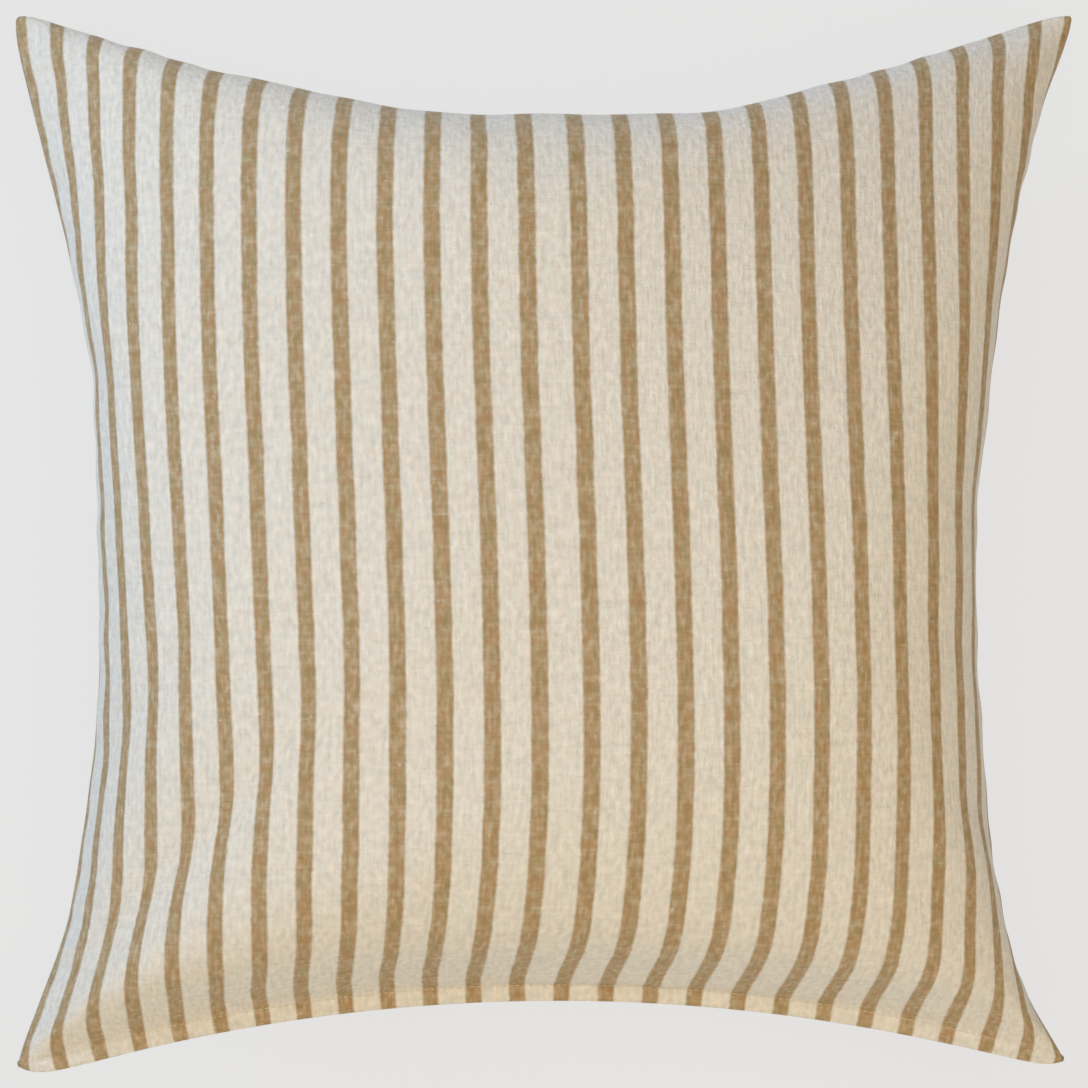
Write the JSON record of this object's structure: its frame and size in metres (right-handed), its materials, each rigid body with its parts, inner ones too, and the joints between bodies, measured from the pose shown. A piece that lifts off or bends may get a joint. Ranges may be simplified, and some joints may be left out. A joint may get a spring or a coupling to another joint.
{
  "type": "throw pillow",
  "caption": "Square throw pillow: striped linen cover with a lapped zip along one edge, over a separate filled insert.",
  "frame": {"origin": "centre of the bounding box in plan, on the surface that the pillow lies on", "axes": "+Z is the normal of the front panel, up as the pillow lies on its back; +Y runs from the zip edge to the top edge; +X is to the right as seen from the front"},
  "size_m": [0.4844, 0.4837, 0.184],
  "materials": {
    "linen": "matte",
    "thread": "matte",
    "zip_tape": "matte",
    "zip_coil": "satin",
    "zip_metal": "satin",
    "casing": "matte",
    "filling": "matte"
  },
  "bodies": {
    "pillow": {"cover_front_panel": "linen", "cover_back_panel": "linen", "top_seam_stitching": "thread", "left_seam_stitching": "thread", "right_seam_stitching": "thread", "bottom_left_seam_stitching": "thread", "bottom_right_seam_stitching": "thread", "zipper_tape_front": "zip_tape", "zipper_tape_back": "zip_tape", "zipper_stitching_front": "thread", "zipper_stitching_back": "thread", "zipper_coil_front": "zip_coil", "zipper_coil_back": "zip_coil", "zipper_top_stop_front": "zip_metal", "zipper_top_stop_back": "zip_metal", "zipper_bottom_stop": "zip_metal", "insert_casing_front": "casing", "insert_casing_back": "casing", "insert_seam_stitching": "thread", "insert_closing_stitching": "thread", "insert_filling": "filling"},
    "slider": {"zipper_slider": "zip_metal"},
    "pull": {"zipper_pull": "zip_metal"}
  },
  "joints": [
    {"name": "slider_travel", "type": "hinge", "parent": "pillow", "child": "slider", "pos_m": [0, -1.01953, 0.086], "axis": [0, 0, 1], "range_deg": [0, 25.9]},
    {"name": "pull_swing", "type": "hinge", "parent": "slider", "child": "pull", "pos_m": [0.18259, -0.22665, 0.086], "axis": [-0.9745, 0.2244, 0], "range_deg": [0, 140]}
  ]
}
